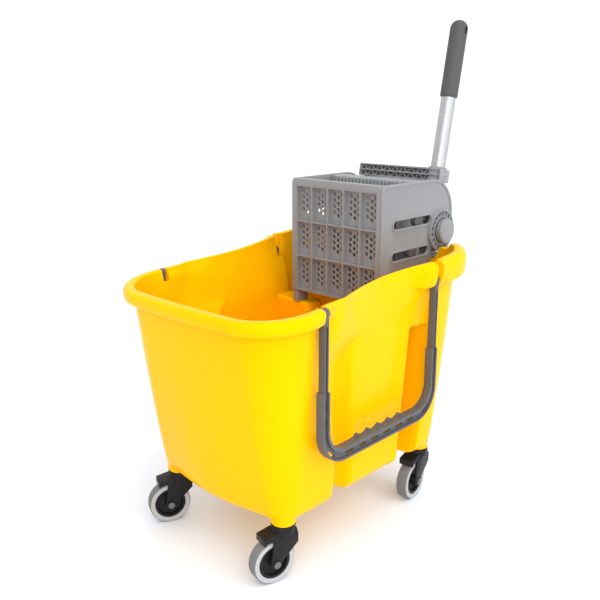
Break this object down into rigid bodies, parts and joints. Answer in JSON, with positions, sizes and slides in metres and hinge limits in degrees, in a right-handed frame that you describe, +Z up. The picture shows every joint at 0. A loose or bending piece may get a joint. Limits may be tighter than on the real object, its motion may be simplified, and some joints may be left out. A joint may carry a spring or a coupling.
{
  "type": "wheeled mop bucket with wringer",
  "caption": "Waisted mop bucket on swivel casters with drop handles and a lift-off press wringer worked by a long lever.",
  "frame": {"origin": "on the floor under the middle of the whole object", "axes": "+X towards the wringer end, -Y towards the side the lever stands at, +Z up"},
  "size_m": [0.5876, 0.3834, 0.8125],
  "materials": {
    "yellow_plastic": "glossy",
    "bail_plastic": "satin",
    "grey_plastic": "satin",
    "dark_plastic": "satin",
    "black_plastic": "satin",
    "tyre_rubber": "matte",
    "axle_metal": "satin",
    "steel": "satin",
    "tube_metal": "satin"
  },
  "bodies": {
    "tub": {"tub": "yellow_plastic", "front_near_stem": "steel", "front_far_stem": "steel", "rear_near_stem": "steel", "rear_far_stem": "steel"},
    "front_near_swivel": {"front_near_fork": "black_plastic", "front_near_axle": "axle_metal"},
    "front_near_wheel": {"front_near_hub": "black_plastic", "front_near_tyre": "tyre_rubber"},
    "front_far_swivel": {"front_far_fork": "black_plastic", "front_far_axle": "axle_metal"},
    "front_far_wheel": {"front_far_hub": "black_plastic", "front_far_tyre": "tyre_rubber"},
    "rear_near_swivel": {"rear_near_fork": "black_plastic", "rear_near_axle": "axle_metal"},
    "rear_near_wheel": {"rear_near_hub": "black_plastic", "rear_near_tyre": "tyre_rubber"},
    "rear_far_swivel": {"rear_far_fork": "black_plastic", "rear_far_axle": "axle_metal"},
    "rear_far_wheel": {"rear_far_hub": "black_plastic", "rear_far_tyre": "tyre_rubber"},
    "bail_near": {"bail_near": "bail_plastic"},
    "bail_far": {"bail_far": "bail_plastic"},
    "wringer": {"front_grid": "grey_plastic", "side_plate_near": "grey_plastic", "side_plate_far": "grey_plastic", "wringer_floor": "grey_plastic", "rear_saddle": "grey_plastic"},
    "lever": {"pivot_shaft": "steel", "pinion_near": "dark_plastic", "pinion_far": "dark_plastic", "pivot_cap_near": "grey_plastic", "pivot_cap_far": "grey_plastic", "yoke": "grey_plastic", "lever_tube": "tube_metal", "lever_bolt": "steel", "lever_grip": "dark_plastic"},
    "press": {"press_plate": "grey_plastic", "guide_shoes": "dark_plastic", "rack_near": "dark_plastic", "rack_far": "dark_plastic"}
  },
  "joints": [
    {"name": "front_near_turn", "type": "hinge", "parent": "tub", "child": "front_near_swivel", "pos_m": [-0.20344, -0.12, 0.08], "axis": [0, 0, 1], "continuous": true},
    {"name": "front_near_roll", "type": "hinge", "parent": "front_near_swivel", "child": "front_near_wheel", "pos_m": [-0.22276, -0.11482, 0.034], "axis": [-0.2588, -0.9659, 0], "continuous": true},
    {"name": "front_far_turn", "type": "hinge", "parent": "tub", "child": "front_far_swivel", "pos_m": [-0.20344, 0.12, 0.08], "axis": [0, 0, 1], "continuous": true},
    {"name": "front_far_roll", "type": "hinge", "parent": "front_far_swivel", "child": "front_far_wheel", "pos_m": [-0.22156, 0.12845, 0.034], "axis": [-0.4226, -0.9063, 0], "continuous": true},
    {"name": "rear_near_turn", "type": "hinge", "parent": "tub", "child": "rear_near_swivel", "pos_m": [0.13656, -0.12, 0.08], "axis": [0, 0, 1], "continuous": true},
    {"name": "rear_near_roll", "type": "hinge", "parent": "rear_near_swivel", "child": "rear_near_wheel", "pos_m": [0.11667, -0.12209, 0.034], "axis": [0.1045, -0.9945, 0], "continuous": true},
    {"name": "rear_far_turn", "type": "hinge", "parent": "tub", "child": "rear_far_swivel", "pos_m": [0.13656, 0.12, 0.08], "axis": [0, 0, 1], "continuous": true},
    {"name": "rear_far_roll", "type": "hinge", "parent": "rear_far_swivel", "child": "rear_far_wheel", "pos_m": [0.11676, 0.12278, 0.034], "axis": [-0.1392, -0.9903, 0], "continuous": true},
    {"name": "bail_near_swing", "type": "hinge", "parent": "tub", "child": "bail_near", "pos_m": [-0.05019, -0.176, 0.407], "axis": [-1, 0, 0], "range_deg": [0, 180]},
    {"name": "bail_far_swing", "type": "hinge", "parent": "tub", "child": "bail_far", "pos_m": [-0.05019, 0.176, 0.407], "axis": [1, 0, 0], "range_deg": [0, 180]},
    {"name": "wringer_lift", "type": "slide", "parent": "tub", "child": "wringer", "axis": [0, 0, 1], "range_m": [0, 0.12]},
    {"name": "lever_swing", "type": "hinge", "parent": "wringer", "child": "lever", "pos_m": [0.21256, 0, 0.463], "axis": [0, 1, 0], "range_deg": [0, 85]},
    {"name": "press_stroke", "type": "slide", "parent": "wringer", "child": "press", "axis": [-1, 0, 0], "range_m": [0, 0.0402]}
  ],
  "couplings": [
    {"joint": "press_stroke", "follows": "lever_swing", "m_per_rad": 0.027}
  ]
}
